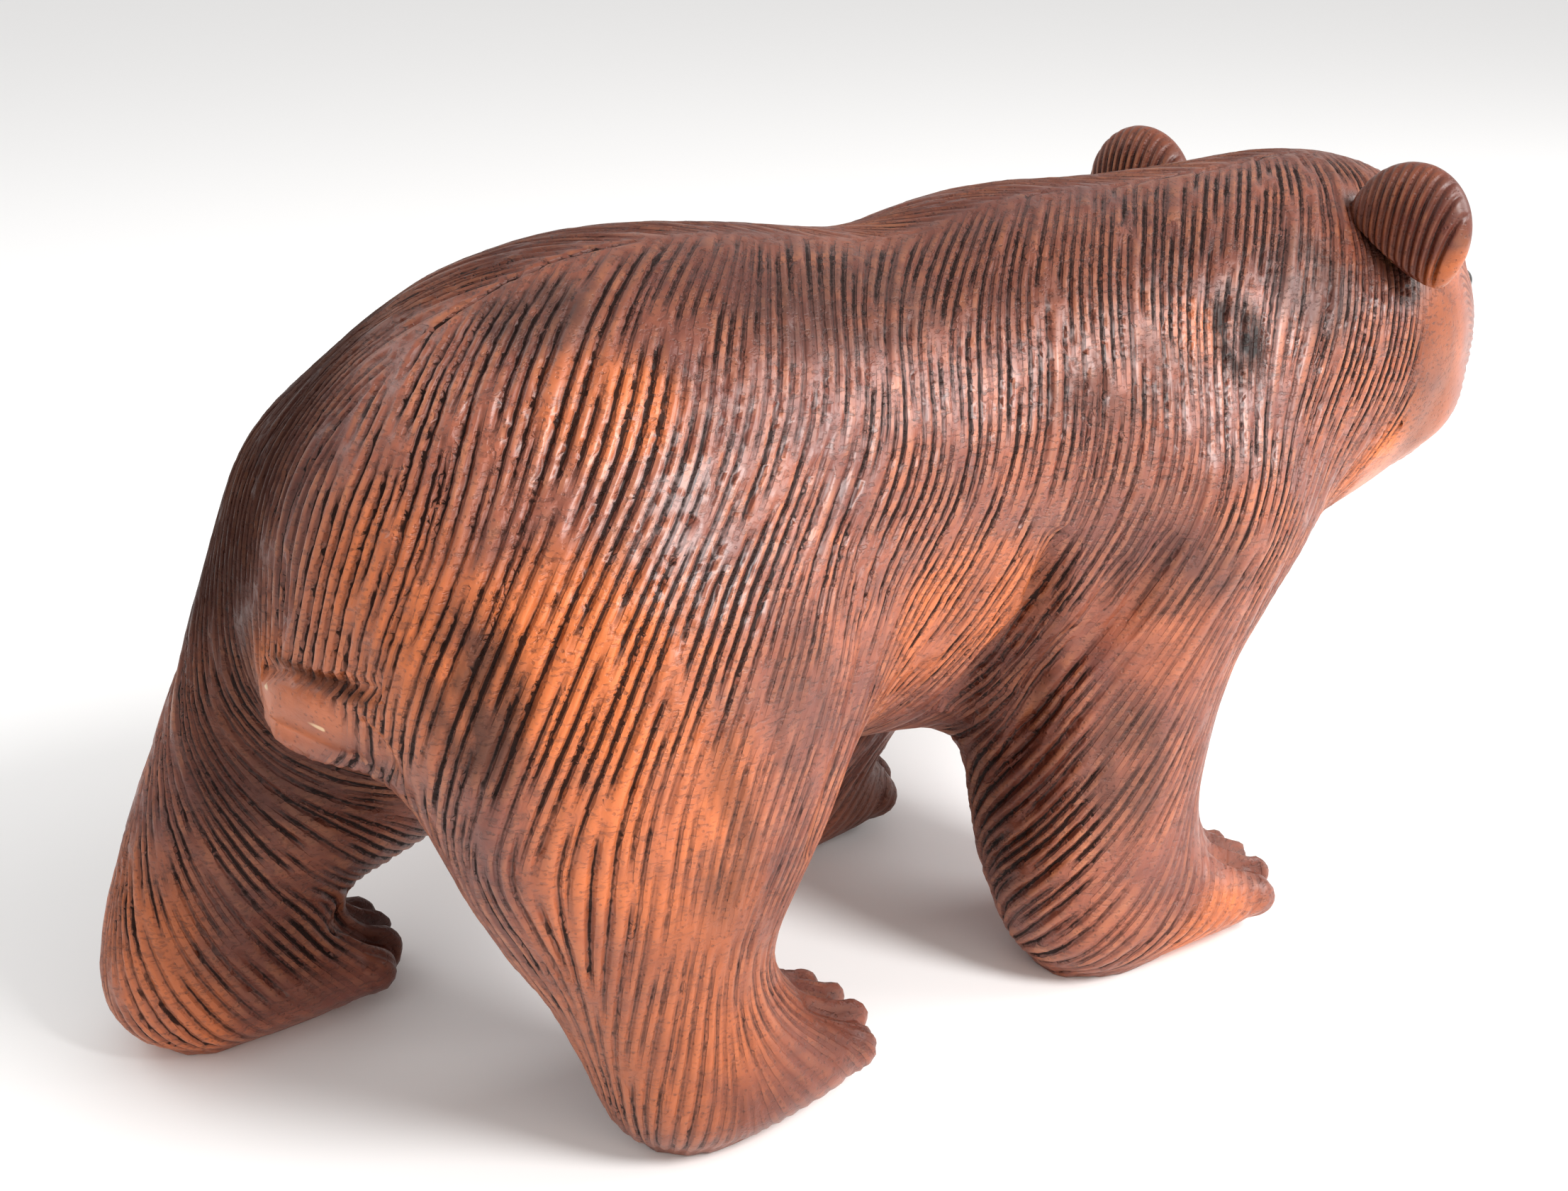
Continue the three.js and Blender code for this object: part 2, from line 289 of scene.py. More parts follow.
blank_source = frame["nodes"]["body_carving"].copy()
blank_source.data = blank_source.data.copy()
bpy.context.collection.objects.link(blank_source)
weld = blank_source.modifiers.new("weld", "WELD")
weld.merge_threshold = WELD_GAP
remesh = blank_source.modifiers.new("remesh", "REMESH")
remesh.mode = "VOXEL"
remesh.voxel_size = BLANK_VOXEL
blank = evaluated_copy(blank_source, "blank")
bpy.data.objects.remove(blank_source)

shape = points_of(blank.data)
on_ground = shape[:, 2] < SOLE_BAND
shape = smoothed(shape, edges_of(blank.data), FACET_ROUNDS)
shape[on_ground, 2] = 0.0
shape[:, 2] = np.maximum(shape[:, 2], 0.0)
move_points(blank.data, shape)

comb = blank.data.attributes.new("comb", "FLOAT_VECTOR", "POINT")
comb.data.foreach_set("vector", comb_direction(shape, normals_of(blank.data)).ravel())

subdivide = blank.modifiers.new("subdivide", "SUBSURF")
subdivide.levels = subdivide.render_levels = 2
carving = evaluated_copy(blank, "bear_body")
bpy.data.objects.remove(blank)
print("blank:", len(carving.data.vertices), "points")

# %% [markdown]
# ## Roughing cuts
# Folds, toes and the face are cut before the fur, as a carver does it, with three tools.
# `groove` pushes the surface in along a line, `swell` pulls it out around a point, and `facet`
# pares it flat. `hug` lays a line on the surface first, so that a groove starts from the skin.

# %% Tools for the roughing cuts
class Block:
    """The wood being carved: its points, the way each of them faces, and its edges."""

    def __init__(self, mesh):
        self.mesh = mesh
        self.points = points_of(mesh)
        self.edges = edges_of(mesh)
        self.facing = normals_of(mesh)

    def refresh(self):
        move_points(self.mesh, self.points)
        self.facing = normals_of(self.mesh)

    def near(self, centre, radius):
        return np.flatnonzero(np.all(np.abs(self.points - centre) < radius, axis=1))


def nearest_on_line(points, line):
    """For each point, the distance to a broken line and how far along it that is, 0 to 1."""
    best = np.full(len(points), np.inf)
    part = np.zeros(len(points))
    spans = len(line) - 1
    for i in range(spans):
        start, way = line[i], line[i + 1] - line[i]
        t = np.clip((points - start) @ way / (way @ way), 0, 1)
        gap = np.linalg.norm(points - start - t[:, None] * way, axis=1)
        closer = gap < best
        best[closer] = gap[closer]
        part[closer] = (i + t[closer]) / spans
    return best, part


def groove(block, line_mm, width_mm, depth_mm, taper=0.25):
    """Cuts a V along a broken line; `taper` is the share of its length that each end fades over."""
    line = np.array(line_mm, float) * MM
    reach = width_mm * MM
    centre = (line.min(axis=0) + line.max(axis=0)) / 2
    chosen = block.near(centre, np.abs(line - centre).max() + reach)
    gap, part = nearest_on_line(block.points[chosen], line)
    profile = np.clip(1 - gap / reach, 0, 1)
    ends = np.clip(np.minimum(part, 1 - part) / taper, 0, 1) ** 0.5
    block.points[chosen] -= block.facing[chosen] * (profile * ends * depth_mm * MM)[:, None]


def swell(block, centre_mm, radii_mm, height_mm):
    """Raises (or, with a negative height, sinks) a soft oval around a point."""
    centre = np.array(centre_mm, float) * MM
    radii = np.array(radii_mm, float) * MM
    chosen = block.near(centre, radii.max() * 1.05)
    away = np.linalg.norm((block.points[chosen] - centre) / radii, axis=1)
    lift = np.clip(1 - away ** 2, 0, 1) ** 2
    block.points[chosen] += block.facing[chosen] * (lift * height_mm * MM)[:, None]


def facet(block, centre_mm, radii_mm, normal, soft=0.15):
    """Pares everything that stands out past a plane, within an oval, flat onto the plane."""
    centre = np.array(centre_mm, float) * MM
    normal = unit(np.array(normal, float))
    chosen = block.near(centre, max(radii_mm) * MM * (1 + soft))
    proud = np.maximum((block.points[chosen] - centre) @ normal, 0)
    inside = patch(block.points[chosen], centre_mm, radii_mm, soft)
    block.points[chosen] -= (proud * inside)[:, None] * normal


def tree_of(mesh):
    return BVHTree.FromPolygons(
        [v.co for v in mesh.vertices], [p.vertices for p in mesh.polygons])


def hug(tree, line_mm):
    """The same line, laid on the surface."""
    return [tuple(tree.find_nearest(Vector(p) * MM)[0] / MM) for p in line_mm]


block = Block(carving.data)
skin = tree_of(carving.data)
smooth_shape = block.points.copy()

# %% Tail stub, folds behind the elbows and before the thighs, haunch and shoulder
facet(block, (-163, -12, 106), (14, 26, 11), (-0.84, -0.42, -0.34))
groove(block, hug(skin, [(-168, 4, 114), (-166, -4, 117), (-162, -20, 119), (-156, -36, 123)]),
       2.6, 2.2, taper=0.12)
groove(block, hug(skin, [(-168, 9, 112), (-170, -2, 102), (-165, -16, 98), (-154, -26, 98)]),
       3.5, 1.8, taper=0.2)
block.refresh()
groove(block, hug(skin, [(0, -55, 126), (-5, -52, 105), (-14, -48, 94), (-20, -40, 76)]),
       6.5, 5.5, taper=0.2)
groove(block, hug(skin, [(17, -58, 116), (11, -52, 99), (4, -47, 91), (-1, -42, 82)]),
       5.0, 2.6)
groove(block, hug(skin, [(27, -63, 121), (19, -57, 101), (5, -45, 84), (-3, -42, 62)]),
       5.5, 3.2)
groove(block, hug(skin, [(0, 57, 122), (-8, 52, 104), (-18, 48, 88)]), 6.0, 4.0)
groove(block, hug(skin, [(-60, -64, 125), (-64, -65, 111), (-70, -66, 94), (-80, -60, 74)]),
       6.0, 1.8)
groove(block, hug(skin, [(-76, 62, 120), (-84, 62, 100), (-96, 58, 80)]), 6.0, 1.8)
swell(block, (-118, -70, 100), (26, 16, 34), 1.6)
swell(block, (50, -62, 120), (24, 14, 26), 1.4)
block.refresh()
moved = np.linalg.norm(block.points - smooth_shape, axis=1).max() / MM
print("folds, tail, haunch and shoulder moved the surface up to", round(moved, 1), "mm")

# %% [markdown]
# ## Paws
# Each paw ends in five blunt toes, parted by V-cuts that start on top of the foot, run over its
# end and go down to the sole. The same loop cuts all four paws, each in its own direction.

# %% Toes
# Heel x and y, the way the paw points in degrees, and its length without the rounded end.
PAWS = {
    "right_hind": (-94.0, -46.6, 9, 36),
    "left_hind": (-175.0, 51.4, 0, 40),
    "right_fore": (25.0, -45.6, -5, 45),
    "left_fore": (-24.0, 46.4, 3, 42),
}
TOE_END = 10
PAW_HALF_WIDTH = 22
BETWEEN_TOES = (-0.62, -0.21, 0.21, 0.62)
TOE_MIDDLES = (-0.82, -0.42, 0.0, 0.42, 0.82)


def paw_point(paw, forward, across, up):
    """A place on a paw: forward of the toe line, across it, and above the floor."""
    heel_x, heel_y, turn, reach = PAWS[paw]
    c, s = math.cos(math.radians(turn)), math.sin(math.radians(turn))
    ahead = reach + forward
    return (heel_x + ahead * c - across * s, heel_y + ahead * s + across * c, up)


for paw in PAWS:
    for part in TOE_MIDDLES:
        across = part * PAW_HALF_WIDTH
        set_back = 7 * part * part
        swell(block, paw_point(paw, TOE_END - 4 - set_back, across * 0.95, 10), (9, 6, 11), 3.0)
block.refresh()
skin = tree_of(carving.data)
for paw in PAWS:
    for part in BETWEEN_TOES:
        across = part * PAW_HALF_WIDTH
        set_back = 8 * part * part
        line = [
            paw_point(paw, -14, across * 0.8, 29),
            paw_point(paw, -5, across * 0.92, 25),
            paw_point(paw, 3, across, 22),
            paw_point(paw, TOE_END - set_back, across, 15),
            paw_point(paw, TOE_END + 3 - set_back, across * 1.05, 7),
            paw_point(paw, TOE_END + 1 - set_back, across * 1.05, 0),
        ]
        groove(block, hug(skin, line[:5]) + [line[5]], 3.6, 3.6, taper=0.22)
block.points[:, 2] = np.maximum(block.points[:, 2], 0)
block.refresh()
print("toes:", len(PAWS) * len(TOE_MIDDLES))

# %% [markdown]
# ## The face
# The face is the carver's plainest work: a short muzzle with a broad nose, a straight mouth,
# low brows and hollows for the bead eyes, all in the head's own frame, which looks a little to
# the left and down. Both halves are cut by the same loop.

# %% Muzzle, nose, mouth and brows
HEAD_CENTRE = (107, -6.6, 141)
HEAD_YAW, HEAD_PITCH = math.radians(6), math.radians(4)


def head_turn():
    cy, sy = math.cos(HEAD_YAW), math.sin(HEAD_YAW)
    cp, sp = math.cos(HEAD_PITCH), math.sin(HEAD_PITCH)
    return np.array([[cy, -sy, 0], [sy, cy, 0], [0, 0, 1]]) @ np.array(
        [[cp, 0, sp], [0, 1, 0], [-sp, 0, cp]])


def on_head(forward, left, up):
    return tuple(np.array(HEAD_CENTRE) + head_turn() @ np.array([forward, left, up]))


eye_places = {side: np.mean(np.array(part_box(f"eye_{side}")), axis=0) / MM
              for side in ("left", "right")}
for side, sign in (("left", 1), ("right", -1)):
    swell(block, on_head(66, sign * 28, -8), (26, 14, 19), -8.5)
    swell(block, on_head(82, sign * 23, -10), (18, 10, 16), -4.5)
    swell(block, on_head(46, sign * 20, 21), (15, 13, 8), 4.6)
    swell(block, on_head(38, sign * 42, -18), (22, 12, 18), 2.6)
    swell(block, on_head(86, sign * 10, -28), (13, 9, 8), 2.6)
    swell(block, tuple(eye_places[side]), (8.5, 8.5, 7), -2.4)
swell(block, on_head(64, 0, 10), (18, 15, 14), -5.5)
swell(block, on_head(82, 0, -4), (16, 8, 10), 2.2)
swell(block, on_head(94, 0, -14), (9, 11.5, 7.5), 6.0)
swell(block, on_head(84, 0, -42), (12, 11, 8), 2.4)
block.refresh()
skin = tree_of(carving.data)
groove(block, hug(skin, [on_head(92, -12, -16), on_head(98, -8, -22), on_head(100, 0, -24),
                         on_head(98, 8, -22), on_head(92, 12, -16)]), 3.0, 3.0, taper=0.1)
groove(block, hug(skin, [on_head(99, 0, -24), on_head(98, 0, -33)]), 2.6, 2.6, taper=0.1)
for side, sign in (("left", 1), ("right", -1)):
    groove(block, hug(skin, [on_head(98, 0, -33), on_head(93, sign * 10, -35),
                             on_head(82, sign * 18, -35), on_head(66, sign * 25, -31),
                             on_head(56, sign * 29, -25)]), 3.2, 4.0, taper=0.12)
    groove(block, hug(skin, [on_head(101, sign * 3.5, -14), on_head(99, sign * 6.5, -13),
                             on_head(96, sign * 8.5, -16)]), 3.0, 5.0, taper=0.2)
    eye = eye_places[side]
    lid = [tuple(eye + head_turn() @ np.array([1.5, sign * a, b]))
           for a, b in ((-8, -1), (-5, 4), (0, 6), (5, 4.5), (8, 0))]
    groove(block, hug(skin, lid), 2.2, 2.2, taper=0.25)
    lower = [tuple(eye + head_turn() @ np.array([1.5, sign * a, b]))
             for a, b in ((-8, -1), (-4, -5), (2, -6), (7, -2))]
    groove(block, hug(skin, lower), 2.2, 1.8, taper=0.25)
block.refresh()
print("roughed out:", len(block.points), "points")

# %% [markdown]
# ## The cuts
# Each cut is a line on the surface that follows the coat's direction. A new cut starts one pitch
# beside an older one and stops where it comes too near to another, so the rows stay even, run
# together and part, as a carver's do. Depth and spacing change from place to place: deep and
# wide on the rump, finer on the back, shallow on the feet, and none on the face's smooth rim.

# %% Where the coat is deep, wide or bare
# Each patch is its value, its middle and its radii, the last two in millimetres.
def over_patches(points, patches, base):
    """A value that starts at `base` and moves towards each patch's own value in turn."""
    value = np.full(len(points), float(base))
    for target, centre, radii in patches:
        value += (target - value) * patch(points, centre, radii)
    return value


CUT_PITCH = 2.8         # millimetres from one cut to the next
PITCH_PATCHES = [
    (2.6, (20, 0, 160), (90, 90, 45)),
    (3.0, (-135, -30, 150), (40, 50, 50)),
    (2.3, (-125, 45, 150), (60, 45, 60)),
    (2.5, (100, -50, 150), (50, 40, 45)),
    (2.6, (-110, -50, 60), (50, 40, 50)),
    (3.0, (10, -50, 55), (40, 30, 50)),
    (2.2, (160, -8, 135), (46, 54, 46)),
]
CUT_DEPTH = 0.8
CUT_DEPTH_PATCHES = [
    (1.25, (-135, -30, 150), (48, 60, 55)),
    (0.95, (-90, -50, 150), (30, 40, 40)),
    (0.95, (100, 0, 160), (60, 80, 40)),
    (0.6, (-100, -60, 60), (45, 40, 50)),
    (0.55, (-76, -72, 106), (20, 20, 36)),
    (0.95, (-150, -50, 90), (30, 40, 50)),
    (0.9, (-160, 45, 60), (40, 50, 60)),
    (0.5, (30, -55, 60), (36, 30, 60)),
    (1.5, (-2, -45, 60), (14, 30, 50)),
    (0.35, (-72, -45, 12), (34, 40, 22)),
    (0.3, (62, -45, 12), (24, 40, 22)),
    (0.3, (-140, 50, 8), (40, 40, 14)),
    (0.3, (15, 45, 10), (30, 40, 20)),
    (0.3, (0, 0, 85), (80, 30, 14)),
    (0.35, (165, -8, 132), (46, 52, 44)),
]
BARE = [
    (0.0, (128, -54, 132), (10, 16, 32)),
    (0.0, (140, -50, 136), (12, 16, 30)),
    (0.0, (124, -46, 112), (16, 22, 14)),
    (0.0, (190, 2, 122), (14, 16, 14)),
    (0.0, (-165, -10, 107), (10, 18, 9)),
]

# %% Draw the cuts over the surface
STEP = 1.3 * MM
SEEDS = 6000            # places tried for a cut that lies beside no other
BESIDE = 0.93           # a cut starts at least this share of a pitch from the others
CROWDED = 0.52          # and stops where it comes nearer to one than this share
LONGEST = (45, 150)     # the most that a cut may run, drawn between these, in mm
FEWEST_STEPS = 4
SHALLOWEST = 0.05       # wood with a smaller depth stays bare
WEAKEST_COMB = 0.2      # where the comb points into the wood, a cut ends
SHARPEST_TURN = 0.5     # cosine of the most that a cut may turn in one step
SOLE_EDGE = 0.8 * MM


def draw_cuts(mesh, pitch, depth):
    """Evenly spaced lines along the comb, as lists of (place, way it faces, depth, pitch)."""
    tree = tree_of(mesh)
    flat = np.empty(len(mesh.vertices) * 3, np.float32)
    mesh.attributes["comb"].data.foreach_get("vector", flat)
    comb = flat.reshape(-1, 3)
    corner = np.empty(len(mesh.loops), np.int64)
    mesh.loops.foreach_get("vertex_index", corner)
    first_corner = np.empty(len(mesh.polygons), np.int64)
    mesh.polygons.foreach_get("loop_start", first_corner)
    of_face = corner[first_corner]
    cell = CUT_PITCH * MM
    taken = {}

    def crowd(x, y, z, own, near):
        # Only the 27 boxes around the place can hold a point of another cut that is near.
        i, j, k = int(x // cell), int(y // cell), int(z // cell)
        near *= near
        for a in (i - 1, i, i + 1):
            for b in (j - 1, j, j + 1):
                for c in (k - 1, k, k + 1):
                    for (px, py, pz, line) in taken.get((a, b, c), ()):
                        if line != own and (px-x)**2 + (py-y)**2 + (pz-z)**2 < near:
                            return True
        return False

    def walk(start, sign, number, room):
        place, travelled, line = start, 0.0, []
        last_way = None
        while travelled < room:
            where, facing, face, _ = tree.find_nearest(place)
            vertex = of_face[face]
            way = Vector(comb[vertex]) * sign
            way -= facing * way.dot(facing)
            if way.length < WEAKEST_COMB:
                break
            way.normalize()
            if last_way is not None and way.dot(last_way) < SHARPEST_TURN:
                break
            here_pitch, here_depth = pitch[vertex], depth[vertex]
            if here_depth < SHALLOWEST or where.z < SOLE_EDGE:
                break
            if crowd(*where, number, CROWDED * here_pitch * MM):
                break
            if line and (where.y > SPINE_Y) != (line[0][0].y > SPINE_Y):
                break
            line.append((where, facing, here_depth, here_pitch))
            last_way = way
            place = where + way * STEP
            travelled += STEP
        return line

    lines = []
    order = random.permutation(len(of_face))[:SEEDS]
    waiting = []
    for face in order:
        waiting.append(Vector(mesh.vertices[int(of_face[face])].co))
        while waiting:
            seed = waiting.pop()
            where, facing, face_hit, _ = tree.find_nearest(seed)
            vertex = of_face[face_hit]
            room_to_start = BESIDE * pitch[vertex] * MM
            if depth[vertex] < SHALLOWEST or crowd(*where, -1, room_to_start):
                continue
            number = len(lines)
            room = random.uniform(*LONGEST) * MM / 2
            back = walk(where, -1, number, room)
            line = back[:0:-1] + walk(where, 1, number, room)
            if len(line) < FEWEST_STEPS:
                continue
            lines.append(line)
            for at, _, _, _ in line:
                key = (int(at.x // cell), int(at.y // cell), int(at.z // cell))
                taken.setdefault(key, []).append((*at, number))
            for i in range(1, len(line) - 1, 3):
                at, up, _, gap = line[i]
                beside = (line[i + 1][0] - line[i - 1][0]).cross(up).normalized()
                waiting.append(at + beside * gap * MM)
                waiting.append(at - beside * gap * MM)
    return lines


block.refresh()
bare = over_patches(block.points, BARE, 1)
cut_pitch = over_patches(block.points, PITCH_PATCHES, CUT_PITCH)
cut_depth = over_patches(block.points, CUT_DEPTH_PATCHES, CUT_DEPTH) * bare
cuts = draw_cuts(carving.data, cut_pitch, cut_depth)
print("cuts:", len(cuts), "total length:", round(sum(map(len, cuts)) * STEP, 1), "m")

# %% [markdown]
# ## Running the gouge
# The cuts become a mesh of edges that carries each cut's depth and half width, fading out at its
# two ends. A Geometry Nodes tree then looks up the nearest cut for every point of the body and
# pushes the point in by the profile of a V-gouge: deepest on the line, and rounding off into
# the ridge between two cuts. A boolean for each cut would take hours and leave ragged faces.

# %% The cuts as an edge mesh
FADE = 7                # steps over which a cut runs out at each end
FADE_CURVE = 0.6
HEAVINESS = (0.8, 1.3)  # the lightest and the heaviest hand
HALF_WIDTHS = (0.58, 0.68)  # of a light and of a heavy cut, as shares of the pitch


def cut_mesh(lines):
    places, edges, depths, widths = [], [], [], []
    for line in lines:
        heavy = random.uniform(*HEAVINESS)
        wave = random.uniform(0, math.tau)
        half_width = HALF_WIDTHS[0] if heavy < 1 else HALF_WIDTHS[1]
        first = len(places)
        for i, (at, _, depth, gap) in enumerate(line):
            fade = min(1.0, (min(i, len(line) - 1 - i) + 1) / FADE)
            # The hand wavers: two ripples in the depth, 15 mm and 5 mm long.
            ripple = 1 + 0.16 * math.sin(wave + i * 0.55) + 0.1 * math.sin(wave * 3 + i * 1.7)
            places.append(at)
            depths.append(depth * heavy * fade ** FADE_CURVE * ripple)
            widths.append(gap * MM * half_width)
        edges += [(i, i + 1) for i in range(first, len(places) - 1)]
    mesh = bpy.data.meshes.new("gouge_cuts")
    mesh.from_pydata(places, edges, [])
    mesh.attributes.new("cut_depth", "FLOAT", "POINT").data.foreach_set("value", depths)
    mesh.attributes.new("cut_width", "FLOAT", "POINT").data.foreach_set("value", widths)
    return mesh


# %% One small function that adds a node
def add(tree, kind, inputs=(), **settings):
    """Adds a node. `inputs` maps a socket's name or number to a value or to another socket."""
    node = tree.nodes.new(kind)
    for name, value in settings.items():
        setattr(node, name, value)
    for name, value in dict(inputs).items():
        if isinstance(value, bpy.types.NodeSocket):
            tree.links.new(value, node.inputs[name])
        else:
            node.inputs[name].default_value = value
    return node


# %% The gouge, as a node tree
V_POWER = 1.5           # 1 is a straight V, and more rounds the ridges off


def gouge_tree():
    tree = bpy.data.node_groups.new("v_gouge", "GeometryNodeTree")
    face = tree.interface
    face.new_socket("Geometry", in_out="INPUT", socket_type="NodeSocketGeometry")
    face.new_socket("Cuts", in_out="INPUT", socket_type="NodeSocketObject")
    face.new_socket("Depth", in_out="INPUT", socket_type="NodeSocketFloat")
    face.new_socket("Wood", in_out="INPUT", socket_type="NodeSocketMaterial")
    face.new_socket("Geometry", in_out="OUTPUT", socket_type="NodeSocketGeometry")
    given = add(tree, "NodeGroupInput").outputs
    lines = add(tree, "GeometryNodeObjectInfo", {"Object": given["Cuts"]}).outputs["Geometry"]
    nearest = add(
        tree, "GeometryNodeProximity", {"Geometry": lines}, target_element="EDGES").outputs
    index = add(tree, "GeometryNodeSampleNearest", {
        "Geometry": lines, "Sample Position": nearest["Position"]}).outputs[0]

    def looked_up(name):
        value = add(tree, "GeometryNodeInputNamedAttribute", {"Name": name}, data_type="FLOAT")
        return add(tree, "GeometryNodeSampleIndex", {
            "Geometry": lines, "Value": value.outputs["Attribute"], "Index": index,
        }, data_type="FLOAT").outputs[0]

    depth, width = looked_up("cut_depth"), looked_up("cut_width")
    part = add(tree, "ShaderNodeMath", {0: nearest["Distance"], 1: width}, operation="DIVIDE")
    inside = add(tree, "ShaderNodeMath", {0: 1.0, 1: part.outputs[0]},
                 operation="SUBTRACT", use_clamp=True)
    profile = add(tree, "ShaderNodeMath", {0: inside.outputs[0], 1: V_POWER},
                  operation="POWER")
    bite = add(tree, "ShaderNodeMath", {0: profile.outputs[0], 1: depth}, operation="MULTIPLY")
    sunk = add(tree, "ShaderNodeMath", {0: bite.outputs[0], 1: given["Depth"]},
               operation="MULTIPLY")
    inward = add(tree, "ShaderNodeMath", {0: sunk.outputs[0], 1: -1.0}, operation="MULTIPLY")
    facing = add(tree, "GeometryNodeInputNormal").outputs[0]
    push = add(tree, "ShaderNodeVectorMath", {0: facing, "Scale": inward.outputs[0]},
               operation="SCALE")
    moved = add(tree, "GeometryNodeSetPosition", {
        "Geometry": given["Geometry"], "Offset": push.outputs[0]}).outputs[0]
    real = add(tree, "GeometryNodeRealizeInstances", {"Geometry": moved}).outputs[0]
    made = add(tree, "GeometryNodeSetMaterial", {
        "Geometry": real, "Material": given["Wood"]}).outputs[0]
    add(tree, "NodeGroupOutput", {"Geometry": made})
    return tree


def with_inputs(modifier, tree, **values):
    """Hands a modifier its tree and inputs, which go by the sockets' identifiers."""
    modifier.node_group = tree
    for item in tree.interface.items_tree:
        if item.in_out == "INPUT" and item.name in values:
            modifier[item.identifier] = values[item.name]


# %% Cut the coat
GOUGE_DEPTH = 1.15 * MM
MOST_TRIANGLES = 198000
BOX_MARGIN = 0.1 * MM

stained_wood = bpy.data.materials.new("stained_lacquered_hardwood")
cut_lines = bpy.data.objects.new("gouge_cuts", cut_mesh(cuts))
bpy.context.collection.objects.link(cut_lines)
gouge = carving.modifiers.new("gouge", "NODES")
with_inputs(gouge, gouge_tree(), Cuts=cut_lines, Depth=GOUGE_DEPTH, Wood=stained_wood)
cut_body = evaluated_copy(carving, "bear_body_cut")
bpy.data.objects.remove(carving)
bpy.data.objects.remove(cut_lines)

triangles = 2 * len(cut_body.data.polygons)
thin = cut_body.modifiers.new("thin", "DECIMATE")
thin.ratio = min(1.0, MOST_TRIANGLES / triangles)
body = evaluated_copy(cut_body, "bear_body")
bpy.data.objects.remove(cut_body)
# Wherever a ridge swelled out past the measured part's box, it is taken back to it.
lowest, highest = np.array(cad_box)
move_points(body.data, np.clip(
    points_of(body.data), lowest + BOX_MARGIN, highest - BOX_MARGIN))
print("body:", triangles, "triangles thinned to", len(body.data.polygons), "faces")

# %% [markdown]
# ## The stained wood
# The wood is a close-grained red hardwood. A thin stain soaks deeper into the cuts and into soft
# patches of the block, so the bottoms of the cuts are nearly black and some patches are slate
# grey. Light and shade are painted over the stain as well: orange patches of painted warm light,
# dark patches of painted shade that are partly dark stain, a painted highlight on the ridges and a
# painted sheen on the flanks. A satin lacquer lies over it all. Each point stores how far it lies
# to one side of its nearest cut as a phase, which stays exact between points, so the black lines
# come out finer than the mesh. The patches are soft ovals.

# %% Where the stain is dark or slate, and where warm light, shade and sheen are painted, stored on the mesh
# Painted light: orange patches where warm light falls, on the haunches, the legs, the tail, the
# chin, the cheeks and the toes.
PAINTED_WARM_LIGHT_PATCHES = [
    (0.8, (-118, -70, 88), (22, 30, 46)),
    (0.85, (-128, -60, 128), (24, 24, 22)),
    (0.7, (-109, -42, 172), (14, 16, 10)),
    (0.75, (-148, -30, 130), (16, 26, 26)),
    (0.7, (-166, -6, 112), (12, 20, 12)),
    (0.55, (-112, -60, 45), (28, 24, 36)),
    (0.6, (-28, -54, 112), (26, 20, 16)),
    (0.95, (122, -48, 116), (24, 18, 14)),
    (0.6, (132, -50, 140), (14, 18, 28)),
    (0.9, (48, -60, 9), (16, 20, 11)),
    (0.7, (-186, 40, 22), (12, 26, 34)),
    (0.6, (46, -47, 164), (8, 10, 7)),
    (0.2, (30, -60, 92), (14, 18, 16)),
    (0.5, (150, -8, 110), (30, 50, 20)),
    (0.6, (-120, 68, 88), (26, 26, 44)),
    (0.5, (110, 46, 116), (24, 18, 14)),
]
SLATE_PATCHES = [
    (1.0, (57, -50, 160), (8, 14, 11)),
    (0.35, (-84, -73, 116), (9, 14, 18)),
    (0.75, (-146, -56, 126), (8, 16, 18)),
    (0.6, (-112, -20, 186), (12, 12, 8)),
    (0.5, (-103, -74, 92), (7, 16, 24)),
    (0.45, (-45, -35, 180), (30, 16, 10)),
    (0.4, (20, -48, 158), (24, 14, 12)),
    (0.3, (30, -64, 112), (20, 16, 12)),
    (0.5, (84, -48, 168), (12, 16, 16)),
    (0.5, (116, -48, 168), (12, 14, 10)),
    (0.5, (20, -60, 60), (12, 16, 20)),
    (0.4, (-10, 52, 150), (30, 20, 20)),
]
# Painted shade, partly dark stain: darker on the far side of the rump, along the back and the neck,
# inside the legs, in the folds and under the tail's ledge, on the toes and under the belly.
PAINTED_SHADE_AND_DARK_STAIN_PATCHES = [
    (0.55, (30, -18, 188), (150, 40, 22)),
    (0.6, (100, -26, 180), (34, 34, 18)),
    (0.85, (-163, -18, 119), (8, 20, 2)),
    (0.6, (130, -52, 138), (14, 18, 30)),
    (0.25, (-100, -64, 40), (44, 34, 46)),
    (0.9, (198, 2, 129), (7, 9, 7)),
    (1.0, (-138, 42, 146), (54, 42, 64)),
    (0.7, (-100, 12, 190), (52, 16, 14)),
    (0.75, (-158, 22, 78), (24, 22, 34)),
    (0.5, (-160, 40, 40), (30, 30, 30)),
    (0.8, (-120, 50, 14), (22, 30, 20)),
    (0.6, (-62, -44, 22), (16, 24, 14)),
    (0.75, (22, 40, 14), (30, 34, 22)),
    (0.7, (-4, -42, 62), (16, 18, 40)),
    (0.6, (-4, -48, 102), (10, 14, 18)),
    (0.5, (62, -20, 188), (60, 22, 8)),
    (0.5, (0, 0, 84), (90, 34, 16)),
    (0.45, (70, -50, 20), (12, 20, 14)),
    (0.35, (95, -30, 178), (24, 26, 16)),
]
NICKED_AND_SHEEN = 0.7            # how nicked the coat is in general, and how much painted sheen lies on it
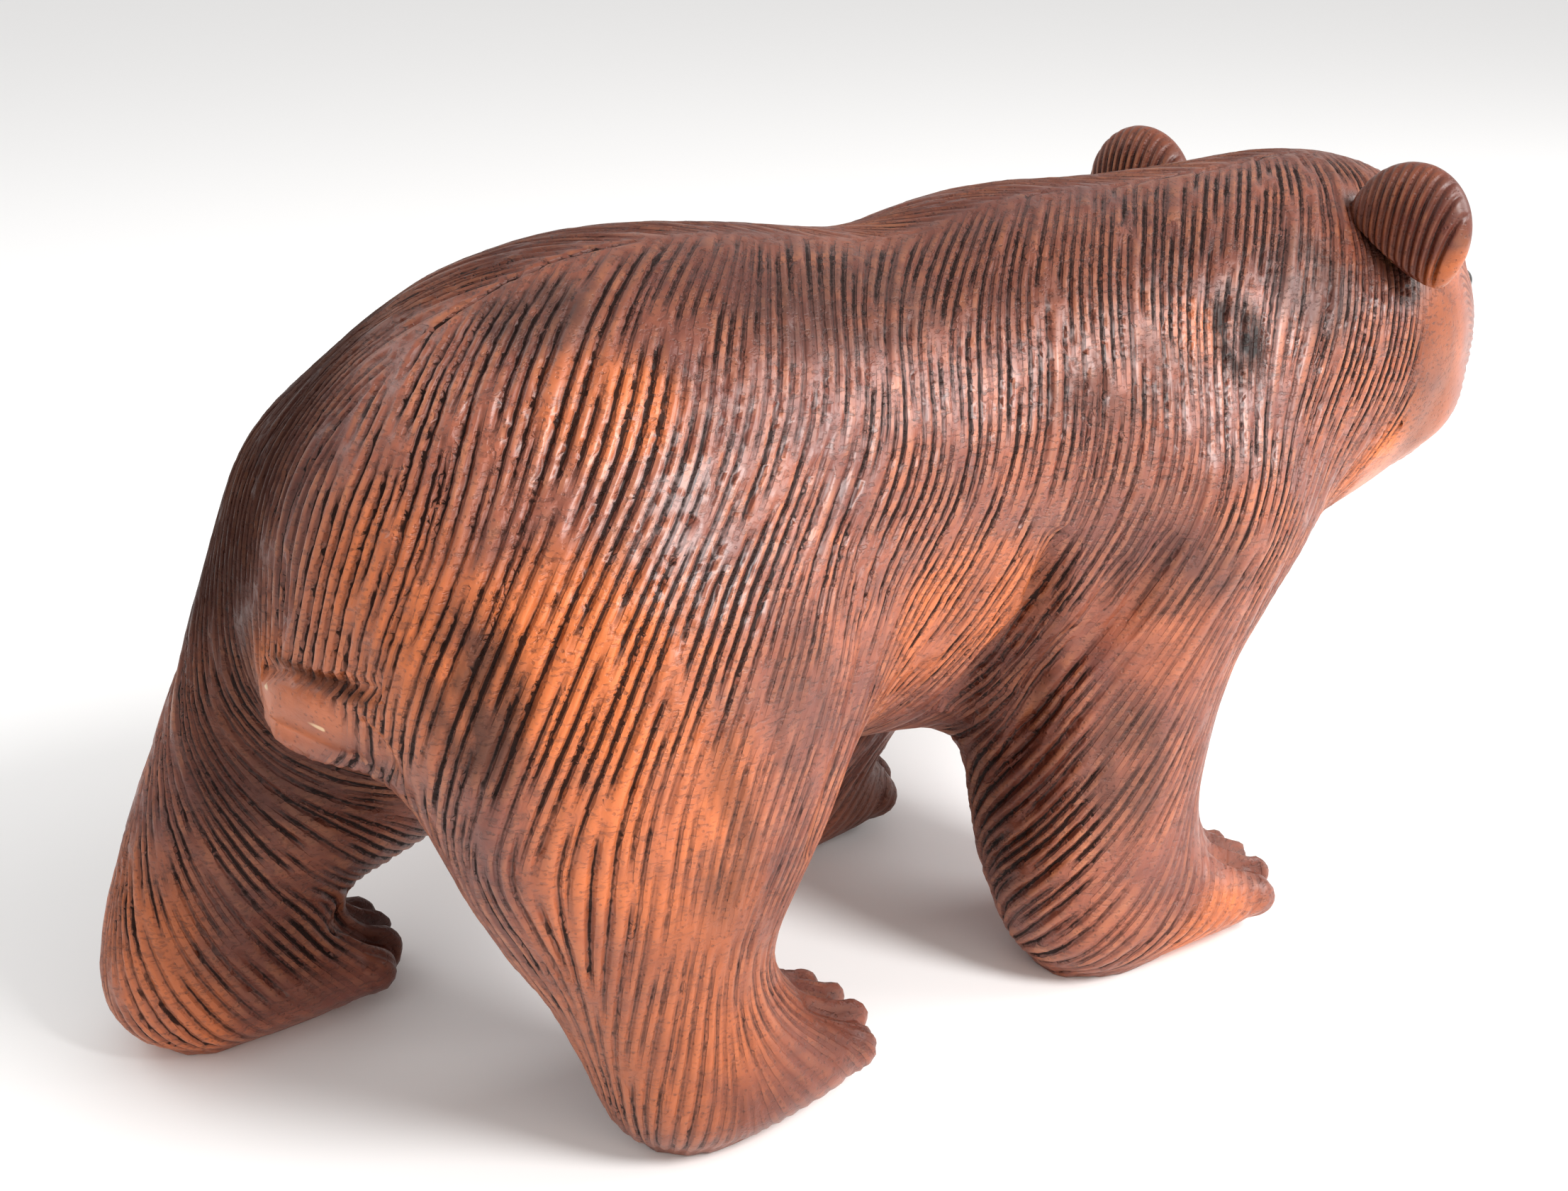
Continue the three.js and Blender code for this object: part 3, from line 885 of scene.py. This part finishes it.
# Where the coat is more or less nicked, and where more painted sheen greys the flanks, shoulders
# and cheeks.
NICK_AND_SHEEN_PATCHES = [
    (1.0, (20, -50, 160), (90, 40, 34)),
    (0.9, (110, -50, 140), (30, 30, 40)),
    (0.4, (-100, -60, 50), (50, 40, 50)),
    (0.5, (30, -60, 60), (40, 40, 60)),
    (0.12, (168, -8, 130), (50, 56, 48)),
    (0.12, (-164, -12, 106), (12, 24, 10)),
]
# The stain is rubbed through to the pale wood along one edge of the tail's flat.
WORN_EDGE = [(-168, 0, 113), (-165, -17, 106)]


def keep(mesh, name, values):
    """Stores one number on each point, for a material to read."""
    mesh.attributes.new(name, "FLOAT", "POINT").data.foreach_set(
        "value", np.ascontiguousarray(values, np.float32))


# %% Where each point lies between two cuts
NEIGHBOURS = 14         # points of the cuts looked at around each point of the mesh
STAIN_TAKEN = (0.7, 1.0)    # how much of the stain a cut took, drawn between these
FULL_DEPTH = 0.95       # a cut this deep takes the whole stain
THROUGH = 3 * MM        # a cut farther off than this lies on the other face of thin wood
OTHER_SIDE = 0.15       # the next cut over lies at least this far past the point, in mm
NEXT_CUT = (0.6, 0.96)  # and between these shares of the pitch away


def mark_cuts(mesh, lines):
    """Stores each point's phase, a full turn from one cut to the next, and the cut's stain."""
    places, facing, along, stained, pitch = [], [], [], [], []
    for line in lines:
        taken = random.uniform(*STAIN_TAKEN)
        for i, (at, up, depth, gap) in enumerate(line):
            end = min(i, len(line) - 1 - i)
            places.append(at)
            facing.append(up)
            pitch.append(gap)
            along.append(line[min(i + 1, len(line) - 1)][0] - line[max(i - 1, 0)][0])
            stained.append(taken * min(1.0, depth / FULL_DEPTH) * min(1.0, (end + 1) / FADE))
    finder = KDTree(len(places))
    for i, at in enumerate(places):
        finder.insert(at, i)
    finder.balance()
    points = points_of(mesh)
    found = np.array([[hit[1] for hit in finder.find_n(point, NEIGHBOURS)] for point in points])
    first = found[:, 0]
    way, up = unit(np.array(along))[first], np.array(facing)[first]
    side = unit(np.cross(way, up))
    away = points[:, None] - np.array(places)[found]
    beside = np.einsum("pnk,pk->pn", away, side) / MM
    past = np.abs(np.einsum("pk,pk->p", away[:, 0], way))
    same_face = np.abs(np.einsum("pk,pk->p", away[:, 0], up)) < THROUGH
    # The next cut over is the nearest one that lies to the other side of the point.
    own_side = np.sign(beside[:, :1])
    other = np.where(own_side * beside < -OTHER_SIDE, np.abs(beside), np.inf).min(axis=1)
    here = np.array(pitch)[first]
    spacing = np.abs(beside[:, 0]) + np.clip(other, NEXT_CUT[0] * here, NEXT_CUT[1] * here)
    turn = np.clip(beside[:, 0] / spacing, -0.5, 0.5) * math.tau
    phase = np.stack([np.cos(turn), np.sin(turn), np.zeros(len(turn))], axis=1)
    mesh.attributes.new("phase", "FLOAT_VECTOR", "POINT").data.foreach_set(
        "vector", phase.astype(np.float32).ravel())
    keep(mesh, "cut", np.array(stained)[first] * np.clip(2 - past / STEP, 0, 1) * same_face)


# Stores the slate stain, the painted warm light, the painted shade with dark stain, and the nicks
# with painted sheen, on each point.
def store_stain_and_painted_light(mesh):
    points = points_of(mesh)
    keep(mesh, "painted_warm_light", over_patches(points, PAINTED_WARM_LIGHT_PATCHES, 0))
    keep(mesh, "slate", over_patches(points, SLATE_PATCHES, 0))
    keep(mesh, "dark", over_patches(points, PAINTED_SHADE_AND_DARK_STAIN_PATCHES, 0))
    keep(mesh, "nicks_and_sheen", over_patches(points, NICK_AND_SHEEN_PATCHES, NICKED_AND_SHEEN))


store_stain_and_painted_light(body.data)
mark_cuts(body.data, cuts)
worn_start, worn_end = (Vector(p) * MM for p in hug(tree_of(body.data), WORN_EDGE))
print("stain stored:", [attribute.name for attribute in body.data.attributes])

# %% Colours, and a material to start from
def linear(hex_colour):
    """An sRGB hex colour as linear RGBA."""
    parts = [int(hex_colour[i:i + 2], 16) / 255 for i in (1, 3, 5)]
    return [c / 12.92 if c <= 0.04045 else ((c + 0.055) / 1.055) ** 2.4 for c in parts] + [1.0]


def surface(material):
    material.use_nodes = True
    tree = material.node_tree
    tree.nodes.clear()
    shader = add(tree, "ShaderNodeBsdfPrincipled")
    add(tree, "ShaderNodeOutputMaterial", {"Surface": shader.outputs[0]})
    return tree, shader


# %% [markdown]
# ## The stain and the painted light, coat by coat
# The wood's figure and fibre come first, and then every stain, and every painted light, shade,
# highlight and sheen, is laid over them as a coat of its own, thick where its mask is near 1. The
# masks join what the mesh stores with clouds of noise, whose sizes come from the real marks. The
# black lines and the worn edge come last.

# %% Clouds of noise
# How many to a metre, how fine their detail, and how much closer they lie along x, y and z.
CLOUDS = {
    "figure": (40, 3, (1, 1, 1)),       # soft figure, 25 mm across
    "fibre": (12, 4, (1, 30, 30)),      # streaks 3 mm wide that run the length of the block
    "pooled": (38, 3, (1, 1, 1)),       # where more of the stain ran into the cuts
    "frayed": (700, 2, (1, 1, 1)),      # the frayed sides of the black lines, 1.4 mm
    "glint_breakup": (180, 3, (1, 1, 1)),     # breaks the painted highlight on the ridges into glints, 6 mm
    "warmed": (60, 4, (1, 1, 1)),       # uneven painted warm light, 17 mm
    "blotched": (150, 4, (1, 1, 0.4)),  # upright slate blotches, 7 by 17 mm
    "nicks_and_sheen": (430, 2, (1, 1, 2.6)),    # short nicks across the fur, 0.9 mm apart down the side; nicks only, no sheen
    "lacquered": (150, 3, (1, 1, 1)),   # thicker and thinner lacquer, 7 mm
    "scraped": (900, 4, (1, 1, 1)),     # the marks of the tool's edge, 1.1 mm
}
PORES_PER_METRE = 620.0                 # pores every 1.6 mm


# %% The stained and lacquered hardwood
def stained_wood_nodes(material):
    """Red-brown hardwood, stained by hand and lacquered, with light and shade painted into its
    colour: satin ridges over matt black cuts.
    """
    tree, shader = surface(material)
    place = add(tree, "ShaderNodeTexCoord").outputs["Object"]
    cloud = {}
    for name, (per_metre, detail, closer) in CLOUDS.items():
        where = add(tree, "ShaderNodeMapping", {"Vector": place, "Scale": closer}).outputs[0]
        cloud[name] = add(tree, "ShaderNodeTexNoise", {
            "Vector": where, "Scale": per_metre, "Detail": detail}).outputs[0]
    pores = add(tree, "ShaderNodeTexVoronoi", {
        "Vector": place, "Scale": PORES_PER_METRE}).outputs[0]
    stored = {name: add(tree, "ShaderNodeAttribute", attribute_name=name).outputs["Fac"]
              for name in ("cut", "painted_warm_light", "slate", "dark", "nicks_and_sheen")}

    def mask(*terms):
        """The product of its terms, each a value that goes from 0 to 1 between two limits."""
        product = None
        for value, none_at, full_at in terms:
            term = add(tree, "ShaderNodeMapRange", {0: value, 1: none_at, 2: full_at}).outputs[0]
            product = term if product is None else add(
                tree, "ShaderNodeMath", {0: product, 1: term}, operation="MULTIPLY").outputs[0]
        return product

    # Stain pools in the cuts, black in a line up to 0.6 mm wide with a brown edge to it, and a
    # painted highlight lies along the ridges. `low` is 1 on a cut and -1 on the ridge beside it.
    phase = add(tree, "ShaderNodeAttribute", attribute_name="phase").outputs["Vector"]
    exact = add(tree, "ShaderNodeVectorMath", {0: phase}, operation="NORMALIZE").outputs[0]
    low = add(tree, "ShaderNodeSeparateXYZ", {0: exact}).outputs[0]
    patchy = add(tree, "ShaderNodeMapRange", {
        0: cloud["pooled"], 1: 0.34, 2: 0.6, 3: 0.5, 4: 1.0}).outputs[0]
    strong = mask((stored["cut"], 0, 1), (patchy, 0, 1))
    frayed = add(tree, "ShaderNodeMath", {0: cloud["frayed"], 1: -0.12, 2: low},
                 operation="MULTIPLY_ADD").outputs[0]
    widened = add(tree, "ShaderNodeMath", {0: strong, 1: 0.3, 2: frayed},
                  operation="MULTIPLY_ADD").outputs[0]
    line = mask((widened, 1.0, 1.13), (strong, 0.06, 0.36))
    edge = mask((low, -0.4, 0.95), (strong, 0, 1))
    ridge_glint = mask((low, -0.1, -0.9), (strong, 0, 1), (cloud["glint_breakup"], 0.35, 0.62))
    slate = mask((stored["slate"], 0, 1), (cloud["blotched"], 0.28, 0.52))
    nick = mask((cloud["nicks_and_sheen"], 0.54, 0.66), (stored["nicks_and_sheen"], 0, 1))
    pore = mask((pores, 0.26, 0.14))

    # The worn edge is whatever lies within 0.8 mm of the line between its two ends.
    span = worn_end - worn_start
    off = add(tree, "ShaderNodeVectorMath", {0: place, 1: worn_start}, operation="SUBTRACT")
    ahead = add(tree, "ShaderNodeVectorMath", {
        0: off.outputs[0], 1: span / span.length_squared}, operation="DOT_PRODUCT")
    share = add(tree, "ShaderNodeClamp", {0: ahead.outputs["Value"]}).outputs[0]
    foot = add(tree, "ShaderNodeVectorMath", {0: span, "Scale": share}, operation="SCALE")
    gap = add(tree, "ShaderNodeVectorMath", {0: off.outputs[0], 1: foot.outputs[0]},
              operation="DISTANCE").outputs["Value"]
    worn = mask((gap, 0.8 * MM, 0.4 * MM))

    colour = add(tree, "ShaderNodeMix", {
        0: mask((cloud["figure"], 0.35, 0.65)), 6: linear("#6a2b18"), 7: linear("#984e30"),
    }, data_type="RGBA").outputs[2]
    coats = [
        # the mask, how thick the coat is at most, and its colour
        (mask((cloud["fibre"], 0.42, 0.7)), 0.45, "#532a1f"),
        # Painted highlight: pale orange glints along the ridges.
        (ridge_glint, 0.5, "#d98a58"),
        # Painted sheen: the flanks, shoulders and cheeks turn greyer where a pale reflection lies
        # on them.
        (stored["nicks_and_sheen"], 0.25, "#7c5148"),
        # Painted warm light, broken up by a cloud.
        (mask((stored["painted_warm_light"], 0, 1), (cloud["warmed"], 0.22, 0.55)), 1.0, "#cd6a2c"),
        (slate, 1.0, "#2f2a29"),
        # Painted shade, partly dark stain.
        (stored["dark"], 0.85, "#28130c"),
        (nick, 0.5, "#3a1a12"),
        (pore, 0.3, "#2a120c"),
        (edge, 0.6, "#46190d"),
        (line, 0.93, "#140704"),
        (worn, 0.85, "#e2bf92"),
    ]
    for where, thickest, hex_colour in coats:
        thick = add(tree, "ShaderNodeMath", {0: where, 1: thickest},
                    operation="MULTIPLY").outputs[0]
        colour = add(tree, "ShaderNodeMix", {0: thick, 6: colour, 7: linear(hex_colour)},
                     data_type="RGBA").outputs[2]

    # Lacquer has an IOR near 1.5. It has sunk in and lies matt in the cuts, in slate and dark
    # stain, and where shade is painted.
    matt = line
    for dark in (stored["dark"], slate):
        matt = add(tree, "ShaderNodeMath", {0: matt, 1: dark}, operation="MAXIMUM").outputs[0]
    satin = {
        "Base Color": colour,
        "Roughness": add(tree, "ShaderNodeMapRange", {
            0: cloud["lacquered"], 3: 0.36, 4: 0.58}).outputs[0],
        "Coat Weight": add(tree, "ShaderNodeMapRange", {0: matt, 3: 0.42, 4: 0.02}).outputs[0],
        "Specular IOR Level": add(tree, "ShaderNodeMapRange", {
            0: matt, 3: 0.5, 4: 0.12}).outputs[0],
    }
    # A viewer that can't work out the nodes shows this plain colour and this much lacquer.
    shader.inputs["Base Color"].default_value = linear("#98553b")
    shader.inputs["Coat Weight"].default_value = 0.3
    shader.inputs["IOR"].default_value = 1.45
    shader.inputs["Coat Roughness"].default_value = 0.3
    shader.inputs["Coat IOR"].default_value = 1.5

    # Relief too fine for the mesh: the furrows' sides, the tool's marks, nicks and pores.
    sunk = add(tree, "ShaderNodeMath", {0: edge, 1: -1.0}, operation="MULTIPLY").outputs[0]
    furrow = add(tree, "ShaderNodeBump", {
        "Height": sunk, "Strength": 0.9, "Distance": 0.9 * MM}).outputs[0]
    scraped = add(tree, "ShaderNodeBump", {
        "Height": cloud["scraped"], "Strength": 0.5, "Distance": 0.15 * MM,
        "Normal": furrow}).outputs[0]
    pitted = add(tree, "ShaderNodeMath", {0: pore, 1: -0.4}, operation="MULTIPLY").outputs[0]
    chipped = add(tree, "ShaderNodeMath", {0: nick, 1: -0.7, 2: pitted},
                  operation="MULTIPLY_ADD").outputs[0]
    satin["Normal"] = add(tree, "ShaderNodeBump", {
        "Height": chipped, "Strength": 0.8, "Distance": 0.35 * MM, "Normal": scraped}).outputs[0]
    for name, socket in satin.items():
        tree.links.new(socket, shader.inputs[name])


stained_wood_nodes(stained_wood)
print("stained wood:", len(stained_wood.node_tree.nodes), "nodes")

# %% The dowel and the bead
# Plain beech dowel: pale, dry and unlacquered.
dowel_wood = bpy.data.materials.new("plain_beech_dowel")
tree, shader = surface(dowel_wood)
place = add(tree, "ShaderNodeTexCoord").outputs["Object"]
grain = add(tree, "ShaderNodeTexNoise", {"Vector": place, "Scale": 400.0}).outputs[0]
beech = add(tree, "ShaderNodeMix", {0: grain, 6: linear("#c79a63"), 7: linear("#a97a45")},
            data_type="RGBA").outputs[2]
tree.links.new(beech, shader.inputs["Base Color"])
shader.inputs["Roughness"].default_value = 0.7

# Dark glass bead: a hard, clean shine on near black.
bead_glass = bpy.data.materials.new("dark_glass_bead")
tree, shader = surface(bead_glass)
shader.inputs["Base Color"].default_value = linear("#120905")
shader.inputs["Roughness"].default_value = 0.06
shader.inputs["IOR"].default_value = 1.52
shader.inputs["Coat Weight"].default_value = 0.6
shader.inputs["Coat Roughness"].default_value = 0.03

# %% [markdown]
# ## Ears, eyes and pegs
# An ear is a thick oval chip of the same wood, hollowed in front and combed at the back with
# fine cuts that spread from its root to its rim. It is dressed like the body: evened out,
# smoothed and cut. The eyes are round beads, and the pegs stay as the CAD part has them, because
# nothing of them shows.

# %% The ears
# Forward, outward and up from the middle of the head, and the outward lean in radians.
EAR_SEATS = {"left": (3, 40, 27, 0.56), "right": (4, 37.6, 29.6, 0.48)}
EAR_HALF, EAR_THICK, EAR_TALL, EAR_MIDDLE = 17, 9, 18, 6
EAR_VOXEL = 0.9 * MM
EAR_ROUNDS = 10
EAR_CUTS = 13
EAR_CUT_STEPS = 24
EAR_OUTERMOST = 0.93    # where the outermost cuts end, as a share of the half width
EAR_ROOT = 0.7          # how far below the middle the cuts start, and how far apart there
EAR_COMB_TURN = 0.5     # radians that the comb leans outward
EAR_PITCH = 2.2
# The ears are darker all over, painted shade and dark stain together, and nicked with a little
# painted sheen.
EAR_SHADE_AND_DARK_STAIN, EAR_NICKED_AND_SHEEN = 0.5, 0.3
# A patch of painted warm light on the ear's lower corner.
EAR_PAINTED_WARM_LIGHT = [(0.9, (122, -62, 166), (12, 9, 9))]


def ear_place(side, sign):
    """The ear's seat in the frame: its centre and its forward, outward and up axes."""
    forward, out, up, outward_lean = EAR_SEATS[side]
    lean = -sign * outward_lean
    tilt = np.array([[1, 0, 0], [0, math.cos(lean), -math.sin(lean)],
                     [0, math.sin(lean), math.cos(lean)]])
    return np.array(on_head(forward, sign * out, up)), head_turn() @ tilt


def dressed_ear(side, sign):
    source = frame["nodes"][f"ear_{side}"].copy()
    source.data = source.data.copy()
    bpy.context.collection.objects.link(source)
    source.modifiers.new("weld", "WELD").merge_threshold = WELD_GAP
    even = source.modifiers.new("remesh", "REMESH")
    even.mode, even.voxel_size = "VOXEL", EAR_VOXEL
    ear = evaluated_copy(source, f"bear_ear_{side}")
    bpy.data.objects.remove(source)
    move_points(ear.data, smoothed(points_of(ear.data), edges_of(ear.data), EAR_ROUNDS))
    finer = ear.modifiers.new("finer", "SUBSURF")
    finer.levels = finer.render_levels = 1
    fine = evaluated_copy(ear, f"bear_ear_{side}")
    bpy.data.objects.remove(ear)

    chip = Block(fine.data)
    tree = tree_of(fine.data)
    seat, axes = ear_place(side, sign)
    lines = []
    turn, lift = math.sin(sign * EAR_COMB_TURN), math.cos(EAR_COMB_TURN)
    for share in np.linspace(-EAR_OUTERMOST, EAR_OUTERMOST, EAR_CUTS):
        line = []
        rim = math.sqrt(1 - share ** 2)
        for part in np.linspace(0, 1, EAR_CUT_STEPS):
            x = share * (EAR_ROOT + (1 - EAR_ROOT) * part)
            y = -EAR_ROOT + (rim + EAR_ROOT) * part
            across, up = x * lift - y * turn, x * turn + y * lift
            back = EAR_THICK * math.sqrt(max(0.0, 1 - across ** 2 - up ** 2))
            spot = np.array([-back - 0.5, EAR_HALF * across, EAR_MIDDLE + EAR_TALL * up])
            spot = (seat + axes @ spot) * MM
            at, up_way, _, _ = tree.find_nearest(Vector(spot))
            line.append((at, up_way, 1.0, EAR_PITCH))
        lines.append(line)
        groove(chip, [tuple(at / MM) for at, _, _, _ in line], 1.1, 0.8, taper=0.15)
    chip.refresh()
    fine.data.materials.clear()
    fine.data.materials.append(stained_wood)
    mark_cuts(fine.data, lines)
    keep(fine.data, "painted_warm_light", over_patches(chip.points, EAR_PAINTED_WARM_LIGHT, 0))
    keep(fine.data, "slate", np.zeros(len(chip.points)))
    keep(fine.data, "dark", np.full(len(chip.points), EAR_SHADE_AND_DARK_STAIN))
    keep(fine.data, "nicks_and_sheen", np.full(len(chip.points), EAR_NICKED_AND_SHEEN))
    return fine


ears = {side: dressed_ear(side, sign) for side, sign in (("left", 1), ("right", -1))}
print("ear faces:", {side: len(ear.data.polygons) for side, ear in ears.items()})


# %% The eyes
def bead(node, name):
    corners = np.array(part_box(node))
    middle, radius = corners.mean(axis=0), (corners[1] - corners[0]).max() / 2
    bpy.ops.mesh.primitive_uv_sphere_add(segments=64, ring_count=32, radius=radius)
    made = bpy.context.object
    made.name = name
    move_points(made.data, points_of(made.data) + middle)
    made.data.materials.append(bead_glass)
    return made


eyes = {side: bead(f"eye_{side}", f"bear_eye_{side}") for side in ("left", "right")}

# %% Smooth shading, the new pieces hung on the body, the CAD pieces they are made from hidden, and beech on the pegs
for piece in [body, *ears.values(), *eyes.values()]:
    piece.data.polygons.foreach_set("use_smooth", [True] * len(piece.data.polygons))
    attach(piece, "root")
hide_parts("body_carving")
for side in ("left", "right"):
    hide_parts(f"ear_{side}")
    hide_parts(f"eye_{side}")
    peg = frame["nodes"][f"ear_dowel_{side}"]
    for kept in peg.material_slots:
        kept.link = "OBJECT"
        kept.material = dowel_wood

# %% [markdown]
# ## Floor, light and camera
# The bear stands on a plain pale floor that runs off into a pale background. The key light
# stands high off its right side and a weaker one before its right shoulder. A low, warm one does
# what a pale table does, and throws light up under the belly and the chin. A faint one behind
# picks out the far edge of the back.

# %% The stage
bpy.ops.mesh.primitive_plane_add(size=12)
floor = bpy.context.object
floor.name = "floor"
# Matt white paper: next to no shine, so that the floor shows only the shadow of the bear.
paper = bpy.data.materials.new("matt_white_paper")
tree, shader = surface(paper)
shader.inputs["Base Color"].default_value = linear("#f6f5f4")
shader.inputs["Roughness"].default_value = 0.95
shader.inputs["Specular IOR Level"].default_value = 0.1
floor.data.materials.append(paper)

world = bpy.data.worlds.new("studio")
bpy.context.scene.world = world
world.use_nodes = True
world.node_tree.nodes["Background"].inputs["Color"].default_value = linear("#ffffff")
world.node_tree.nodes["Background"].inputs["Strength"].default_value = 0.78


def soft_light(name, place_mm, aim_mm, size_mm, watts, colour="#ffffff"):
    lamp = bpy.data.lights.new(name, "AREA")
    lamp.shape, lamp.size, lamp.energy = "DISK", size_mm * MM, watts
    lamp.color = linear(colour)[:3]
    thing = bpy.data.objects.new(name, lamp)
    bpy.context.collection.objects.link(thing)
    thing.location = Vector(place_mm) * MM
    thing.rotation_euler = (
        (Vector(aim_mm) - Vector(place_mm)).to_track_quat("-Z", "Y").to_euler())


soft_light("key", (350, -900, 900), (0, -20, 110), 420, 15.5)
soft_light("side", (850, -450, 600), (60, -30, 130), 520, 5.8)
soft_light("low_bounce", (100, -900, 120), (0, 0, 90), 600, 2.4, "#ffdfc4")
soft_light("back", (-500, 700, 800), (0, 0, 110), 500, 1.5)

# %% The camera
CAMERA_AT = (-282.6, -350.6, 289.0)
LOOKS_AT = (-38.6, 0.4, 99.6)
LENS_MM = 44.67
camera_data = bpy.data.cameras.new("camera")
camera_data.sensor_width = 36
camera_data.lens = LENS_MM
camera_data.clip_start, camera_data.clip_end = 0.02, 30
camera = bpy.data.objects.new("camera", camera_data)
bpy.context.collection.objects.link(camera)
camera.location = Vector(CAMERA_AT) * MM
camera.rotation_euler = (
    (Vector(LOOKS_AT) - Vector(CAMERA_AT)).to_track_quat("-Z", "Y").to_euler())
bpy.context.scene.camera = camera
bpy.context.scene.view_settings.view_transform = "Standard"
